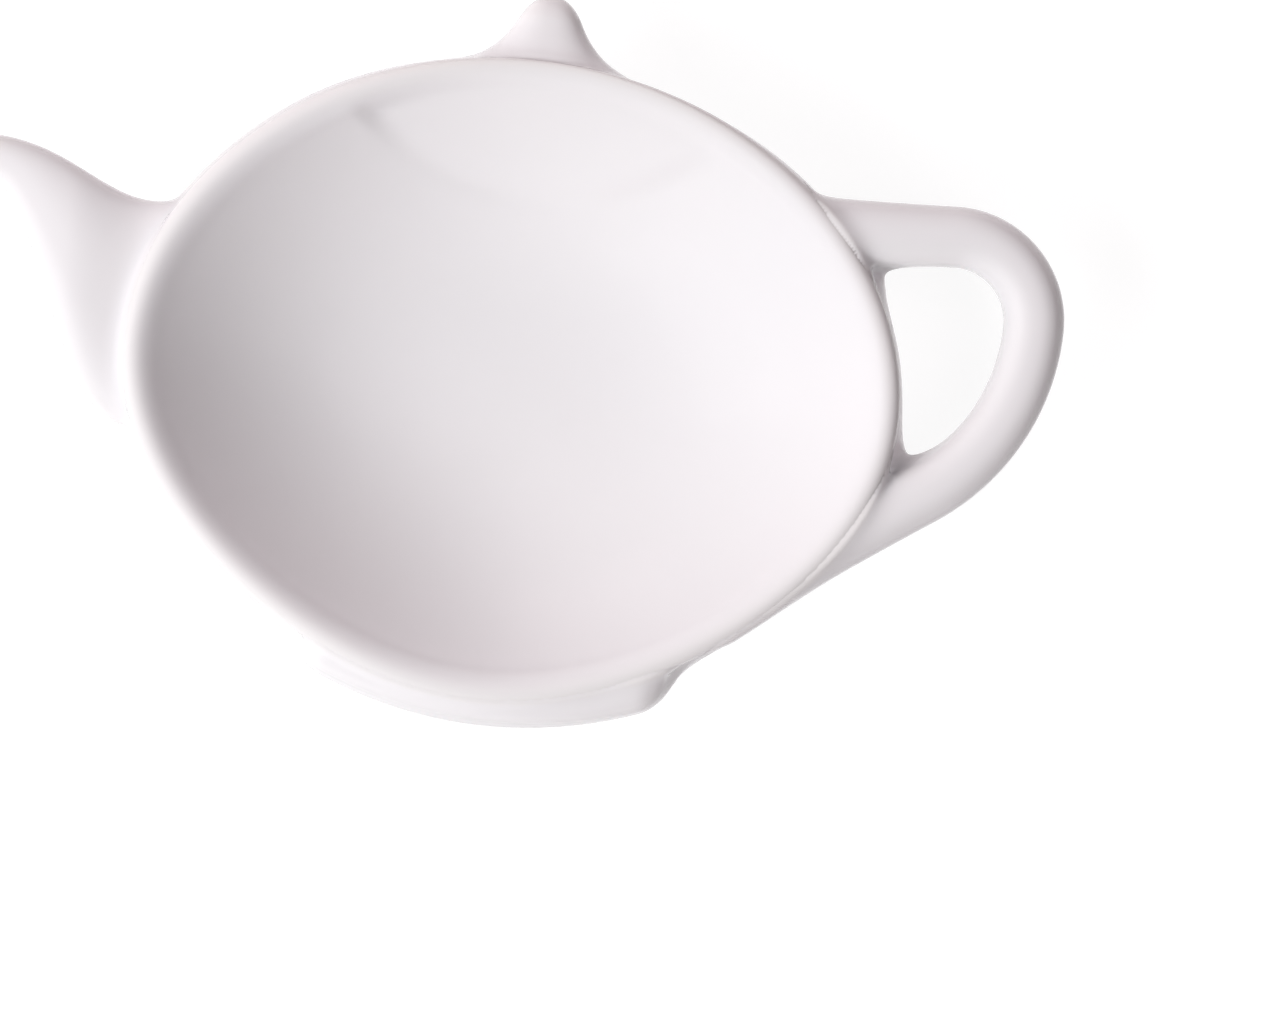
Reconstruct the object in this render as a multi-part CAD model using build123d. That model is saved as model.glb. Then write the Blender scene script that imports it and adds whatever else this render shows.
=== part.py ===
"""Tea bag rest shaped like a teapot seen from the side: a shallow oval dish with a spout, a lid knob,
a loop handle, a base ledge and a foot ring. X runs from spout to handle, Y from base to knob, Z is up.
The origin is the middle of the dish, on the table. Sizes are in millimetres and degrees."""

import math
import os

from build123d import *

# Dish, measured at the crest of its rim. The tapers draw its oval in towards the lid and the base. Near the
# lid, what stands out past the crest gets slimmer.
rim_half_width = 41.2
rim_half_depth = 34.1
rim_height = 20.0
lid_taper = 0.07
base_taper = 0.16
lid_slim = 0.6
lid_slim_turn = 84.0
lid_slim_spread = 48.0
rim_lip_out = 1.6
rim_lip_in = 2.4
rim_round_out = 1.2
rim_round_in = 1.6
neck_out = 1.3
neck_drop = 3.4
belly_out = 2.6
belly_height = 12.5
foot_inset = 13.5
foot_height = 1.2
wall_start_angle = 18.0

# Bowl inside the dish, with a flat middle and a wall that steepens towards the rim.
floor_height = 5.0
floor_share = 0.2
bowl_power = 2.66

# Lid outline moulded in the bowl: an even slope, part of a wide cone, that goes down from the rim's top
# to a round edge. A steep bank joins it to the rim where the cone lies lower than the rim.
lid_reach = 13.7
lid_radius = 29.0
lid_slope = 39.0
lid_cone_radius = 62.0
lid_bank_slope = 60.0

# Foot ring under the dish.
ring_width = 3.2

# Middle height of the spout, the knob, the handle and the ledge, which end just under the rim's crest.
arm_height = 15.5

# Spout on the left, from the rim's widest line to its tip.
spout_length = 20.2
spout_taper_run = 19.0
spout_root_width = 25.0
spout_root_height = 7.4
spout_root_rise = 2.7
spout_tip_width = 4.6
spout_tip_height = 4.8
spout_tip_rise = 18.3
spout_rise_power = 1.2
spout_width_power = 1.5
spout_end_round = 2.6

# Lid knob at the top, from just inside the rim's crest to its tip.
knob_length = 9.7
knob_sink = 1.1
knob_root_width = 21.0
knob_root_height = 7.4
knob_tip_width = 5.8
knob_tip_height = 5.0
knob_end_round = 2.9

# Loop handle on the right, along the middle line of its bar.
handle_bar_width = 6.7
handle_bar_height = 6.8
handle_root_width = 9.0
handle_root_height = 7.4
handle_top_drop = 13.35
handle_straight = 6.6
handle_upper_radius = 9.3
handle_lower_radius = 22.0
handle_lower_turn = 56.0
handle_root_run = 26.0

# Base ledge along the lower wall of the dish, a little right of its middle.
ledge_out = 4.7
ledge_shift = 1.2
ledge_radius = 50.0
ledge_half_length = 21.3
ledge_width = 5.4
ledge_height = 7.0
ledge_round = 2.4

# Where the cross-sections of the curved forms lie, as shares of each form's run.
wall_stations = (0.0, 0.33, 0.67, 1.0)
bowl_stations = (0.45, 0.65, 0.8, 0.91, 0.97, 1.0)
body_stations = (0.0, 0.3, 0.55, 0.75)
end_stations = (1.0, 0.4, 0.05)
handle_stations = 20
oval_points = 24

neck_height = rim_height - neck_drop
wall_start = math.radians(wall_start_angle)


def slimmed(grow, turn):
    """Distance outside the rim's crest at a turn, less of it near the lid."""
    away = abs(math.degrees(turn) - lid_slim_turn) / lid_slim_spread
    if grow <= 0 or away >= 1:
        return grow
    return grow * (1.0 - lid_slim * math.cos(math.pi / 2 * away) ** 2)


def oval(half_width, half_depth, height, grow=0.0):
    """Closed oval at a height, drawn in a little towards the lid and more towards the base."""
    points = []
    for step in range(oval_points):
        turn = 2 * math.pi * step / oval_points
        share = base_taper if math.sin(turn) < 0 else lid_taper
        taper = 1.0 - share * math.sin(turn) ** 2
        out = slimmed(grow, turn)
        across = (half_width + out) * math.cos(turn) * taper
        points.append((across, (half_depth + out) * math.sin(turn), height))
    return Face(Wire([Edge.make_spline(points, periodic=True)]))


def rim_oval(grow, height):
    """Oval that lies a given distance outside the crest of the rim."""
    return oval(rim_half_width, rim_half_depth, height, grow)


def dish_envelope():
    """Outer form of the dish without its bowl: a curved wall up to the belly, then a neck and the rim."""
    sections = []
    for share in wall_stations:
        angle = wall_start + (math.pi / 2 - wall_start) * share
        out = (math.sin(angle) - math.sin(wall_start)) / (1.0 - math.sin(wall_start))
        up = 1.0 - math.cos(angle) / math.cos(wall_start)
        grow = -foot_inset + (belly_out + foot_inset) * out
        sections.append(rim_oval(grow, foot_height + (belly_height - foot_height) * up))
    sections.append(rim_oval(neck_out, neck_height))
    sections.append(rim_oval(rim_lip_out, rim_height))
    return loft(sections)


def bowl_form():
    """Hollow of the bowl, from its floor up a wall that steepens towards the rim."""
    sections = []
    for share in (floor_share, *bowl_stations):
        half_width = (rim_half_width - rim_lip_in) * share
        half_depth = (rim_half_depth - rim_lip_in) * share
        rise = (rim_height - floor_height) * share**bowl_power
        sections.append(oval(half_width, half_depth, floor_height + rise))
    return loft(sections)


def lid_zone():
    """Upright column over the part of the bowl that lies inside the lid outline."""
    column = Cylinder(lid_radius, rim_height, align=(Align.CENTER, Align.CENTER, Align.MIN))
    return Pos(0, rim_half_depth - lid_reach + lid_radius, floor_height) * column


def lid_hollow():
    """Space over the lid's even slope, kept inside the top of the rim by a steep bank."""
    depth = rim_height - floor_height
    run = depth / math.tan(math.radians(lid_slope))
    cone = Cone(lid_cone_radius - run, lid_cone_radius, depth, align=(Align.CENTER, Align.CENTER, Align.MIN))
    start = rim_round_in - rim_lip_in
    slope = Pos(0, rim_half_depth + start - lid_cone_radius, floor_height) * cone
    bank_run = depth / math.tan(math.radians(lid_bank_slope))
    return slope & loft([rim_oval(start - bank_run, floor_height), rim_oval(start, rim_height)])


def top_edges(solid):
    """Closed edges of the rim's flat top, the inner one first."""
    return solid.edges().group_by(Axis.Z)[-1].sort_by(Edge.length)


def dish_form(envelope):
    """Dish with its bowl, its rounded rim and the lid outline."""
    bowl = bowl_form()
    dish = envelope - bowl
    dish = fillet(top_edges(dish)[0], rim_round_in)
    dish = fillet(top_edges(dish)[-1], rim_round_out)
    over_lid = lid_hollow()
    zone = lid_zone()
    return dish + ((bowl & zone) - over_lid) - (over_lid & zone)


def end_round(left, radius):
    """Share of the full section that remains a given distance before a rounded end."""
    if left >= radius:
        return 1.0
    return math.sqrt(1.0 - (1.0 - left / radius) ** 2)


def runs(length, sink, radius):
    """Distances along a form at which its sections lie, from inside the dish to its rounded end."""
    body = [(length - radius) * share for share in body_stations]
    end = [length - radius * share for share in end_stations]
    return [-sink, *body, *end]


def spout_form():
    """Spout that narrows and rises from its root to its tip, with oval sections across X."""
    sections = []
    for run in runs(spout_length, spout_tip_width, spout_end_round):
        ease = (1.0 - math.cos(math.pi * min(max(run, 0.0) / spout_taper_run, 1.0))) / 2
        tip = end_round(spout_length - run, spout_end_round)
        rise = spout_root_rise + (spout_tip_rise - spout_root_rise) * ease**spout_rise_power
        width = (spout_root_width + (spout_tip_width - spout_root_width) * ease**spout_width_power) * tip
        height = (spout_root_height + (spout_tip_height - spout_root_height) * ease) * tip
        plane = Plane((-rim_half_width - run, rise, arm_height), x_dir=(0, 1, 0), z_dir=(-1, 0, 0))
        sections.append(plane * Ellipse(width / 2, height / 2))
    return loft(sections)


def knob_form():
    """Knob with flared sides and a rounded end, with oval sections across Y."""
    sections = []
    for run in runs(knob_length, knob_end_round, knob_end_round):
        flare = (1.0 - max(run, 0.0) / knob_length) ** 2
        tip = end_round(knob_length - run, knob_end_round)
        width = (knob_tip_width + (knob_root_width - knob_tip_width) * flare) * tip
        height = (knob_tip_height + (knob_root_height - knob_tip_height) * flare) * tip
        middle = (0, rim_half_depth - knob_sink + run, arm_height)
        sections.append(Plane(middle, x_dir=(1, 0, 0), z_dir=(0, 1, 0)) * Ellipse(width / 2, height / 2))
    return loft(sections)


def handle_form():
    """Loop of oval bar that thickens a little towards its two roots in the dish."""
    bend_start = rim_half_width + handle_straight
    top_line = rim_half_depth - handle_top_drop
    top_run = Line((bend_start - handle_root_run, top_line), (bend_start, top_line))
    upper_bend = JernArc(top_run @ 1, top_run % 1, handle_upper_radius, -90)
    lower_bend = JernArc(upper_bend @ 1, upper_bend % 1, handle_lower_radius, -handle_lower_turn)
    lower_run = Line(lower_bend @ 1, lower_bend @ 1 + handle_root_run * (lower_bend % 1))
    path = Pos(0, 0, arm_height) * Wire([top_run, upper_bend, lower_bend, lower_run])
    sections = []
    for step in range(handle_stations):
        share = step / (handle_stations - 1)
        flare = (2.0 * share - 1.0) ** 4
        width = handle_bar_width + (handle_root_width - handle_bar_width) * flare
        height = handle_bar_height + (handle_root_height - handle_bar_height) * flare
        plane = Plane(path.position_at(share), x_dir=(0, 0, 1), z_dir=path.tangent_at(share))
        sections.append(plane * Ellipse(height / 2, width / 2))
    return loft(sections)


def ledge_form():
    """Rounded bar along the lower wall of the dish, following an arc."""
    middle_radius = ledge_radius - ledge_width / 2
    half_turn = math.degrees(math.asin((ledge_half_length - ledge_width / 2) / middle_radius))
    centre = (ledge_shift, ledge_radius - rim_half_depth - ledge_out)
    middle_line = CenterArc(centre, middle_radius, 270 - half_turn, 2 * half_turn)
    bar = extrude(SlotArc(middle_line, ledge_width), ledge_height)
    levels = bar.edges().group_by(Axis.Z)
    bar = fillet(levels[0] + levels[-1], ledge_round)
    return Pos(0, 0, arm_height - ledge_height / 2) * bar


def ring_form():
    """Oval ring between the dish and the table."""
    return extrude(rim_oval(-foot_inset, 0) - rim_oval(-foot_inset - ring_width, 0), foot_height)


envelope = dish_envelope()
outside = fillet(top_edges(envelope)[-1], rim_round_out)
pieces = {
    "dish": dish_form(envelope),
    "spout": spout_form() - outside,
    "knob": knob_form() - outside,
    "handle": handle_form() - outside,
    "base_ledge": ledge_form() - outside,
    "foot_ring": ring_form(),
}

os.makedirs("parts", exist_ok=True)
for name, piece in pieces.items():
    export_step(piece, f"parts/{name}.step")
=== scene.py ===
import math
from functools import partial

import bpy
import numpy as np
from bpy.props import FloatProperty, FloatVectorProperty, IntProperty, PointerProperty
from bpy.types import Operator, Panel, PropertyGroup
from mathutils import Matrix, Vector


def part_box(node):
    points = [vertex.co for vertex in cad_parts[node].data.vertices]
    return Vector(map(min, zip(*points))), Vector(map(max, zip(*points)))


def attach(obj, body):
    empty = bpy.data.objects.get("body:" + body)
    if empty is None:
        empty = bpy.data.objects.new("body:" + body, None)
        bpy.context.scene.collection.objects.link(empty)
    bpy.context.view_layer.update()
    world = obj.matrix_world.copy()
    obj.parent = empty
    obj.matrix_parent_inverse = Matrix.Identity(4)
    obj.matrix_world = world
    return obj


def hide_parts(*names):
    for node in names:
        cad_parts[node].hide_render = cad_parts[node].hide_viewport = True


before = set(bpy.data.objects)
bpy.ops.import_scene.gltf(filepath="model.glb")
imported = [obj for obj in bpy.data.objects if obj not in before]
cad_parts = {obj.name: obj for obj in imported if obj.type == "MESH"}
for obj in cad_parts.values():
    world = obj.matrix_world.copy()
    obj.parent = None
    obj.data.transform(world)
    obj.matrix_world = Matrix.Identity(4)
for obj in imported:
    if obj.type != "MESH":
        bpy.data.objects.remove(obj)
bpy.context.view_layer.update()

bl_info = {
    "name": "Tea Bag Rest",
    "version": (1, 0, 0),
    "blender": (4, 5, 0),
    "location": "3D View > Sidebar > Tea Rest",
    "description": "Builds a glazed tea bag rest in the outline of a teapot, with its stage",
    "category": "Add Mesh",
}

DISH_LOW, DISH_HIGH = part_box("dish")
HANDLE_LOW, HANDLE_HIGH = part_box("handle")
LEDGE_LOW, LEDGE_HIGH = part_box("base_ledge")
SPOUT_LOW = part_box("spout")[0]
KNOB_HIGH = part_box("knob")[1]
RING_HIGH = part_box("foot_ring")[1]

MILLIMETRE = 0.001
SMOOTH = "SMOOTHSTEP"
TINY_SQUARE = 1e-14
TINY_GAP = 1e-12
BELLY_OUT = 0.0026
BELLY_HEIGHT = 0.0125
ARM_HEIGHT = (HANDLE_LOW[2] + HANDLE_HIGH[2]) / 2


def length(description, default):
    """A size in metres that the sidebar shows."""
    return FloatProperty(description=description, default=default, unit="LENGTH", precision=5)


def share(description, default):
    """A plain number between nothing and one."""
    return FloatProperty(description=description, default=default, min=0.0, max=1.0, subtype="FACTOR")


def angle(description, degrees):
    """An angle, given in degrees."""
    return FloatProperty(description=description, default=math.radians(degrees), subtype="ANGLE")


def power(description, default):
    """The power of a lamp in watts."""
    return FloatProperty(description=description, default=default, unit="POWER")


def tint(description, default):
    """A colour that the sidebar shows."""
    return FloatVectorProperty(description=description, default=default, size=3, subtype="COLOR", min=0.0, max=1.0)


def squared(default):
    """How square the section of an arm is."""
    return FloatProperty(description="How square the section is, two for an oval", default=default, min=2.0)


class TeaRestDish(PropertyGroup):
    """Sizes of the dish."""
    rim_half_width: length("From the middle to the rim's crest along X", DISH_HIGH[0] - BELLY_OUT)
    rim_half_depth: length("From the middle to the rim's crest along Y", -DISH_LOW[1] - BELLY_OUT)
    rim_height: length("From the table to the rim's crest", DISH_HIGH[2])
    foot_height: length("From the table to the underside of the dish", DISH_LOW[2])
    floor_height: length("From the table to the middle of the bowl", 0.005)
    lip_in: length("From the rim's crest to the top of the bowl's wall", 0.00053)
    bowl_power: FloatProperty(description="How late the bowl's wall rises towards the rim",
                              default=2.66, min=1.5, max=6.0)
    lid_taper: share("How much the oval draws in towards the lid", 0.07)
    base_taper: share("How much the oval draws in towards the base", 0.16)
    slim: share("How much of the wall past the rim's crest is lost near the lid", 0.9)
    slim_turn: angle("Direction in which the wall is slimmest", 84.0)
    slim_spread: angle("How far round the slimmer wall goes each way", 48.0)
    lid_radius: length("Radius of the lid's lower edge", 0.0295)
    lid_reach: length("From the rim's crest to the lowest point of the lid's edge", 0.0137)
    lid_slope: angle("Slope of the lid below the rim's crest", 39.8)
    lid_cone: length("Radius of the wide cone that the lid is a part of, at the rim's height", 0.054)
    lid_shift: length("How far the cone's middle lies to the spout's side", 0.0016)
    lid_inset: length("From the rim's crest to the lid's cone at the rim's height", 0.00035)
    lid_softness: length("Width over which the lid's edge runs into the bowl", 0.0030)
    turns: IntProperty(description="Points round the oval", default=384, min=48)


class TeaRestSpout(PropertyGroup):
    """Sizes of the spout."""
    run: length("From the rim's widest line to the tip", -SPOUT_LOW[0] - DISH_HIGH[0] + BELLY_OUT)
    taper_run: length("Length over which the spout narrows and rises", 0.019)
    root_width: length("Width at the rim", 0.0250)
    root_height: length("Height at the rim", 0.0074)
    root_rise: length("How far the root lies from the middle line towards the lid", 0.0027)
    tip_width: length("Width before the tip's rounding", 0.0046)
    tip_height: length("Height before the tip's rounding", 0.0048)
    tip_rise: length("How far the tip lies from the middle line towards the lid", 0.0183)
    tip_round: length("Length of the rounded end", 0.0026)
    dip: length("How far the middle lies lower beside the rim", 0.0006)
    swell: length("How far the middle lies higher past the rim", 0.0003)
    swell_run: length("Length over which the middle rises", 0.009)
    squareness: squared(2.6)
    blend: length("Reach of the soft joint with the dish", 0.0034)


class TeaRestKnob(PropertyGroup):
    """Sizes of the lid knob."""
    run: length("From just inside the rim's crest to the tip", 0.0097)
    root_width: length("Width at the rim", 0.021)
    root_height: length("Height at the rim", 0.0085)
    tip_width: length("Width before the tip's rounding", 0.0058)
    tip_height: length("Height before the tip's rounding", 0.005)
    tip_round: length("Length of the rounded end", 0.0029)
    squareness: squared(2.5)
    blend: length("Reach of the soft joint with the dish", 0.0034)


class TeaRestHandle(PropertyGroup):
    """Sizes of the loop handle, along the middle line of its bar."""
    bar_width: length("Width of the bar seen from above", 0.0067)
    bar_height: length("Height of the bar", 0.0068)
    root_width: length("Width of the bar inside the dish", 0.009)
    root_height: length("Height of the bar inside the dish", 0.0074)
    lift: length("How far the bar lies over the middle height of the other arms", 0.0003)
    top_drop: length("From the rim's crest at the lid down to the upper run", 0.01305)
    lean: angle("How much the upper run climbs from the dish to the bend", 3.5)
    straight: length("How far the upper run goes past the rim's widest line", 0.00655)
    upper_radius: length("Radius of the upper bend", 0.0093)
    lower_radius: length("Radius of the lower bend", 0.0236)
    lower_turn: angle("How far the lower bend turns in", 56.0)
    root_run: length("Length of each straight run into the dish", 0.026)
    squareness: squared(2.35)
    blend: length("Reach of the soft joint with the dish on the outer side", 0.0026)
    hole_blend: length("Reach of the soft joint with the dish inside the loop", 0.0095)


class TeaRestLedge(PropertyGroup):
    """Sizes of the base ledge."""
    out: length("How far the ledge stands out from the rim's crest", 0.0041)
    radius: length("Radius of the ledge's outer edge", 0.050)
    shift: length("How far right of the middle line its lowest point lies", 0.0013)
    left: length("From the middle line to its left end", 0.0200)
    right: length("From the middle line to its right end", 0.0207)
    width: length("Width of the bar seen from above, most of it inside the dish", 0.0085)
    height: length("Height of the bar", LEDGE_HIGH[2] - LEDGE_LOW[2])
    squareness: squared(2.4)
    blend: length("Reach of the soft joint with the dish", 0.0080)


class TeaRestRing(PropertyGroup):
    """Sizes of the foot ring."""
    half_width: length("From the middle to the ring's outer face along X", RING_HIGH[0])
    half_depth: length("From the middle to the ring's outer face along Y", RING_HIGH[1])
    width: length("Width of the ring", 0.0032)
    edge_round: length("Rounding of the ring's lower edges", 0.0005)


class TeaRestGlaze(PropertyGroup):
    """Colours of the porcelain."""
    body: tint("White of the glazed porcelain", (0.86, 0.85, 0.853))
    # The darker tone in hollows is partly glaze that gathers there and partly painted shade in the creases.
    pooled: tint("Cooler tone where the glaze gathers in a hollow", (0.80, 0.80, 0.812))
    thin: tint("Warmer tone where the glaze runs thin on an edge", (0.845, 0.83, 0.815))
    biscuit: tint("Bare fired clay of the foot ring", (0.74, 0.71, 0.66))
    roughness: share("Roughness of the glaze where it is smoothest", 0.07)


class TeaRestStage(PropertyGroup):
    """Camera and lights."""
    lens: FloatProperty(description="Focal length in millimetres", default=120.0, subtype="DISTANCE_CAMERA")
    distance: length("Camera height over the belly of the dish", 0.47)
    turn: angle("How far the rest is turned clockwise in the picture", 6.3)
    aim: FloatVectorProperty(description="Point in the middle of the picture", size=3,
                             default=(0.0148, -0.0125, BELLY_HEIGHT), subtype="XYZ", unit="LENGTH")
    key_power: power("Power of the window light from the spout's side", 8.9)
    key_turn: angle("Direction of the window light round the table", 208.0)
    key_height: angle("Angle of the window light over the table", 46.0)
    key_distance: length("From the rest to the window light", 0.9)
    key_size: length("Width of the window light, twice its height", 0.9)
    key_tint: tint("Tint of the window light", (0.985, 0.985, 1.0))
    fill_power: power("Power of the light that the white walls send back", 5.1)
    fill_tint: tint("Tint of the light that the white walls send back", (1.0, 0.85, 0.89))
    room_level: share("Strength of the light from all round", 0.03)
    mirror_level: share("Brightness of the room where the glaze mirrors it", 0.5)


def add(tree, kind, **values):
    """New node with its settings."""
    node = tree.nodes.new(kind)
    for name, value in values.items():
        setattr(node, name, value)
    return node


def plug(tree, value, socket):
    """Link a socket or set a plain value."""
    if isinstance(value, bpy.types.NodeSocket):
        tree.links.new(value, socket)
    else:
        socket.default_value = value


def fed(tree, kind, inputs, **values):
    """New node with its settings and its inputs, linked or set."""
    node = add(tree, kind, **values)
    for name, value in inputs.items():
        plug(tree, value, node.inputs[name])
    return node


def maths(tree, operation, *values):
    """Math node on sockets or numbers."""
    node = add(tree, "ShaderNodeMath", operation=operation)
    for value, socket in zip(values, node.inputs):
        plug(tree, value, socket)
    return node.outputs[0]


def hypotenuse(tree, first, second):
    """Length of a way with two runs at a right angle."""
    squares = [maths(tree, "MULTIPLY", value, value) for value in (first, second)]
    return maths(tree, "SQRT", maths(tree, "ADD", *squares))


def ranged(tree, value, low, high, to_low=0.0, to_high=1.0, kind="LINEAR"):
    """Value carried from one range to another, which is from nothing to one if not given."""
    inputs = {"Value": value, "From Min": low, "From Max": high, "To Min": to_low, "To Max": to_high}
    return fed(tree, "ShaderNodeMapRange", inputs, interpolation_type=kind).outputs[0]


def between(first, last, part):
    """Value a part of the way from one to another."""
    return first + (last - first) * part


def ease(part):
    """Smooth step from nothing to one."""
    part = np.clip(part, 0.0, 1.0)
    return part * part * (3.0 - 2.0 * part)


def soft_line(corners, per_span):
    """Smooth line through the soft corners of a polyline, from its first point to its last."""
    corners = np.asarray(corners, float)
    padded = np.vstack([corners[:1], corners[:1], corners, corners[-1:], corners[-1:]])
    t = np.linspace(0.0, 1.0, per_span, endpoint=False)[:, None]
    weights = ((1 - t) ** 3, 3 * t**3 - 6 * t**2 + 4, -3 * t**3 + 3 * t**2 + 3 * t + 1, t**3)
    spans = []
    for first in range(len(padded) - 3):
        spans.append(sum(w * padded[first + i] for i, w in enumerate(weights)) / 6.0)
    return np.vstack([*spans, corners[-1:]])


# How the dish is drawn: within which distance points are welded, how softly the slimming starts past the rim's crest,
# over which distances from the crest the lid begins, and the corners of the dish's section. Those of the rim and the
# wall are distances in millimetres past the crest, with the rise over the rim's height or the share of the way from
# the foot to the belly.
WELD = 1e-6
SLIM_START = 0.0008
LID_FADE = (0.0003, 0.0030)
POINTS_PER_CORNER = 5
UNDER_SHARES = (0.3, 0.0)
UNDER_RISE = 0.0002
BOWL_SHARES = (0.0, 0.08, 0.18, 0.28, 0.38, 0.48, 0.57, 0.66, 0.74, 0.81, 0.87, 0.92, 0.953)
RIM_CORNERS = ((-1.70, -1.10), (-1.00, -0.53), (-0.30, -0.12), (0.40, 0.045), (1.08, -0.10), (1.55, -0.48),
               (1.82, -1.08), (1.80, -1.75), (1.62, -2.40), (1.46, -3.10), (1.50, -3.90), (1.82, -4.90),
               (2.22, -5.90), (2.55, -6.90))
WALL_CORNERS = ((2.66, 0.974), (2.56, 0.87), (2.1, 0.745), (1.15, 0.60), (-0.4, 0.46), (-2.7, 0.31), (-5.6, 0.177),
                (-9.0, 0.075), (-11.8, 0.022), (-13.6, 0.002), (-15.5, 0.0), (-18.0, 0.004))


def dish_profile(dish):
    """Half width, half depth and height of the oval sections, from the bowl's middle over the rim to the underside,
    and the number of the point at the rim's crest."""
    corners = []
    width = dish.rim_half_width
    depth = dish.rim_half_depth
    for part in BOWL_SHARES:
        rise = (dish.rim_height - dish.floor_height) * part**dish.bowl_power
        corners.append(((width - dish.lip_in) * part, (depth - dish.lip_in) * part, dish.floor_height + rise))
    for out, rise in RIM_CORNERS:
        corners.append((width + out * MILLIMETRE, depth + out * MILLIMETRE, dish.rim_height + rise * MILLIMETRE))
    for out, part in WALL_CORNERS:
        height = between(dish.foot_height, BELLY_HEIGHT, part)
        corners.append((width + out * MILLIMETRE, depth + out * MILLIMETRE, height))
    for part in UNDER_SHARES:
        corners.append((width * part, depth * part, dish.foot_height + UNDER_RISE))
    line = soft_line(corners, POINTS_PER_CORNER)
    return line, int(np.argmax(line[:, 2]))


def polyline_object(name, points):
    """Loose line of points that a node tree reads."""
    mesh = bpy.data.meshes.new(name)
    edges = [(i, i + 1) for i in range(len(points) - 1)]
    mesh.from_pydata(np.asarray(points).tolist(), edges, [])
    return bpy.data.objects.new(name, mesh)


# Sizes of the dish that the turning tree takes under their own names.
TREE_SIZES = ("lid_taper", "base_taper", "rim_height", "rim_half_depth", "lid_radius", "lid_softness", "lid_cone",
              "lid_shift", "lid_inset", "slim", "slim_turn", "slim_spread")


def oval_turning_tree():
    """Node tree that carries a profile round the rim's oval and sinks the lid into the bowl."""
    tree = bpy.data.node_groups.get("oval_turning")
    if tree:
        return tree
    tree = bpy.data.node_groups.new("oval_turning", "GeometryNodeTree")
    face = tree.interface
    kinds = {"Geometry": "Geometry", "profile": "Object", "turns": "Int", "material": "Material"}
    for name in (*kinds, *TREE_SIZES, "bowl_points", "crest_half_width", "lid_rise", "lid_middle"):
        face.new_socket(name, in_out="INPUT", socket_type="NodeSocket" + kinds.get(name, "Float"))
    face.new_socket("Geometry", in_out="OUTPUT", socket_type="NodeSocketGeometry")
    given = add(tree, "NodeGroupInput").outputs
    calc = partial(maths, tree)
    plus, minus, times, over = (partial(calc, kind) for kind in ("ADD", "SUBTRACT", "MULTIPLY", "DIVIDE"))

    profile = fed(tree, "GeometryNodeObjectInfo", {"Object": given["profile"]}).outputs["Geometry"]
    count = fed(tree, "GeometryNodeAttributeDomainSize", {"Geometry": profile}, component="MESH")
    around = plus(given["turns"], 1.0)
    grid = fed(tree, "GeometryNodeMeshGrid", {"Vertices X": count.outputs["Point Count"], "Vertices Y": around})
    number = add(tree, "GeometryNodeInputIndex").outputs[0]
    row = calc("FLOOR", over(plus(number, 0.5), around))
    column = minus(number, times(row, around))
    turn = times(over(column, given["turns"]), 2.0 * math.pi)
    spot = add(tree, "GeometryNodeInputPosition").outputs[0]
    sample = fed(tree, "GeometryNodeSampleIndex", {"Geometry": profile, "Value": spot, "Index": row},
                 data_type="FLOAT_VECTOR")
    section = fed(tree, "ShaderNodeSeparateXYZ", {"Vector": sample.outputs[0]}).outputs

    sine = calc("SINE", turn)
    base_more = times(calc("LESS_THAN", sine, 0.0), minus(given["base_taper"], given["lid_taper"]))
    drawn = plus(given["lid_taper"], base_more)
    taper = minus(1.0, times(drawn, times(sine, sine)))
    away = calc("ABSOLUTE", minus(turn, given["slim_turn"]))
    slimmer = ranged(tree, away, 0.0, given["slim_spread"], given["slim"], 0.0, SMOOTH)
    past = calc("MAXIMUM", minus(section["X"], given["crest_half_width"]), 0.0)
    lost = over(times(past, past), plus(past, SLIM_START))
    lost = times(lost, slimmer)
    across = times(minus(section["X"], lost), times(calc("COSINE", turn), taper))
    along = times(minus(section["Y"], lost), sine)

    cone_start = minus(given["rim_half_depth"], given["lid_inset"])
    from_axis = plus(minus(along, cone_start), given["lid_cone"])
    aside = plus(across, given["lid_shift"])
    slope_run = minus(given["lid_cone"], hypotenuse(tree, aside, from_axis))
    lid_height = minus(given["rim_height"], times(slope_run, given["lid_rise"]))
    radius = hypotenuse(tree, across, minus(along, given["lid_middle"]))
    half_soft = times(given["lid_softness"], 0.5)
    in_lid = ranged(tree, radius, minus(given["lid_radius"], half_soft),
                    plus(given["lid_radius"], half_soft), 1.0, 0.0, SMOOTH)
    from_rim = minus(given["rim_half_depth"], section["Y"])
    fade = ranged(tree, from_rim, *LID_FADE, kind=SMOOTH)
    in_bowl = calc("LESS_THAN", row, given["bowl_points"])
    amount = times(times(in_lid, fade), in_bowl)
    sink = times(amount, minus(lid_height, section["Z"]))
    place = fed(tree, "ShaderNodeCombineXYZ", {"X": across, "Y": along, "Z": plus(section["Z"], sink)})

    shaped = fed(tree, "GeometryNodeSetPosition", {"Geometry": grid.outputs["Mesh"], "Position": place.outputs[0]})
    closed = fed(tree, "GeometryNodeMergeByDistance", {"Geometry": shaped.outputs[0], "Distance": WELD})
    smooth = fed(tree, "GeometryNodeSetShadeSmooth", {"Geometry": closed.outputs[0]})
    real = fed(tree, "GeometryNodeRealizeInstances", {"Geometry": smooth.outputs[0]})
    coat = fed(tree, "GeometryNodeSetMaterial", {"Geometry": real.outputs[0], "Material": given["material"]})
    fed(tree, "NodeGroupOutput", {"Geometry": coat.outputs[0]})
    return tree


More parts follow.
